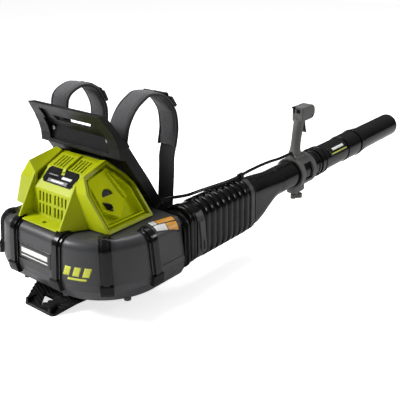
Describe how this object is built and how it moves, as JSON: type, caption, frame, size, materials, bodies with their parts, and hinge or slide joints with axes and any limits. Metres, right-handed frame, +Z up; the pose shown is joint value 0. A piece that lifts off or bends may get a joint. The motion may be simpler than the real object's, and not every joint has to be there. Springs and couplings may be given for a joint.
{
  "type": "backpack leaf blower",
  "caption": "Backpack leaf blower with a flat scroll housing, cowl with side battery bays, leaning back frame with padded straps, ribbed hose, round blow tube and pistol grip.",
  "frame": {"origin": "on the floor, in the plane that divides the machine's body into right and left halves, 40 mm forward of the fan's axis", "axes": "+Z up with the machine standing on its base, +Y forwards, the way the air leaves the nozzle, +X to the wearer's right, where the blow tube is"},
  "size_m": [0.439, 1.474, 0.5152],
  "materials": {
    "lime_plastic": "semi-gloss moulded nylon, fine grain",
    "grey_plastic": "satin moulded nylon, fine grain",
    "black_gloss": "smooth glossy polypropylene",
    "black_satin": "satin, light grain",
    "dark_grey_soft": "matte grip plastic",
    "rubber_black": "matte",
    "steel": "zinc plated",
    "aluminium_cast": "cast",
    "copper_wire": "enamelled wire",
    "magnet": "nickel plated",
    "circuit_green": "satin lacquer",
    "webbing": "woven polyester",
    "padding": "woven cover over foam, black piped edges"
  },
  "bodies": {
    "machine": {"volute_upper": "grey_plastic", "volute_lower": "grey_plastic", "volute_bands": "black_gloss", "band_clips": "black_satin", "intake_guard": "black_satin", "motor_mount": "aluminium_cast", "motor_bearings": "steel", "motor_can": "aluminium_cast", "motor_stator": "steel", "motor_windings": "copper_wire", "controller_board": "circuit_green", "power_leads": "rubber_black", "body_screws": "steel", "motor_cowl": "lime_plastic", "cowl_badge": "black_gloss", "battery_bay_right": "lime_plastic", "battery_bay_left": "lime_plastic", "latch_keepers": "black_satin", "terminal_blocks": "black_satin", "hose_collar_rear": "black_satin", "hose_clamp_rear": "grey_plastic", "back_frame": "black_satin", "base_plate": "black_satin", "rubber_feet": "rubber_black", "back_pad": "padding", "shoulder_pad_right": "padding", "shoulder_pad_left": "padding", "lower_straps": "webbing", "strap_buckles": "black_gloss", "strap_anchors": "black_satin", "cable_rear": "rubber_black"},
    "rotor": {"fan_impeller": "black_satin", "impeller_nut": "steel", "motor_shaft": "steel", "motor_rotor": "steel", "rotor_magnets": "magnet"},
    "hose_mid": {"hose_bellows": "rubber_black", "cable_middle": "rubber_black"},
    "blow_tube": {"main_tube": "black_gloss", "tube_seals": "rubber_black", "hose_clamp_front": "grey_plastic", "cable_clip": "black_satin", "cable_front": "rubber_black"},
    "middle_section": {"middle_tube": "black_gloss"},
    "nozzle": {"nozzle_tube": "black_gloss"},
    "grip_carrier": {"grip_liner": "black_gloss", "cable_grip": "rubber_black"},
    "control_handle": {"clamp_upper": "dark_grey_soft", "clamp_lower": "dark_grey_soft", "clamp_bolt": "steel", "grip_shell_right": "dark_grey_soft", "grip_shell_left": "dark_grey_soft", "grip_screws": "steel", "trigger_pin": "steel", "trigger_spring": "steel", "speed_switch": "black_satin"},
    "knob": {"clamp_knob": "dark_grey_soft"},
    "trigger_blade": {"trigger": "black_satin"},
    "cruise": {"cruise_lever": "black_satin"},
    "turbo": {"turbo_button": "black_satin"}
  },
  "joints": [
    {"name": "rotor_spin", "type": "hinge", "parent": "machine", "child": "rotor", "pos_m": [0, -0.04, 0.15], "axis": [0, 0, 1], "continuous": true},
    {"name": "hose_yaw", "type": "hinge", "parent": "machine", "child": "hose_mid", "pos_m": [0.212, 0.206, 0.155], "axis": [0, 0, 1], "range_deg": [-15, 15], "deforming": ["hose_bellows", "cable_rear", "cable_middle"]},
    {"name": "hose_pitch", "type": "hinge", "parent": "hose_mid", "child": "blow_tube", "pos_m": [0.212, 0.3, 0.155], "axis": [1, 0, 0], "range_deg": [-7, 22], "deforming": ["cable_front"]},
    {"name": "middle_twist", "type": "hinge", "parent": "blow_tube", "child": "middle_section", "pos_m": [0.212, 0.742, 0.173], "axis": [0, 1, 0], "range_deg": [0, 25]},
    {"name": "nozzle_twist", "type": "hinge", "parent": "middle_section", "child": "nozzle", "pos_m": [0.212, 1, 0.173], "axis": [0, 1, 0], "range_deg": [0, 25]},
    {"name": "grip_slide", "type": "slide", "parent": "blow_tube", "child": "grip_carrier", "axis": [0, 1, 0], "range_m": [-0.06, 0.025], "deforming": ["cable_grip"]},
    {"name": "grip_turn", "type": "hinge", "parent": "grip_carrier", "child": "control_handle", "pos_m": [0.212, 0.654, 0.173], "axis": [0, 1, 0], "range_deg": [-30, 30]},
    {"name": "knob_turn", "type": "hinge", "parent": "control_handle", "child": "knob", "pos_m": [0.212, 0.654, 0.092], "axis": [0, 0, 1], "range_deg": [0, 360]},
    {"name": "trigger_pull", "type": "hinge", "parent": "control_handle", "child": "trigger_blade", "pos_m": [0.212, 0.676, 0.338], "axis": [-1, 0, 0], "range_deg": [0, 14], "stiffness_Nm_per_rad": 0.4, "springref_deg": -5.73},
    {"name": "cruise_turn", "type": "hinge", "parent": "control_handle", "child": "cruise", "pos_m": [0.1995, 0.661, 0.36], "axis": [1, 0, 0], "range_deg": [0, 20]},
    {"name": "turbo_press", "type": "slide", "parent": "control_handle", "child": "turbo", "axis": [0, 1, 0], "range_m": [0, 0.0025], "stiffness_N_per_m": 400, "springref_m": -0.0008}
  ]
}
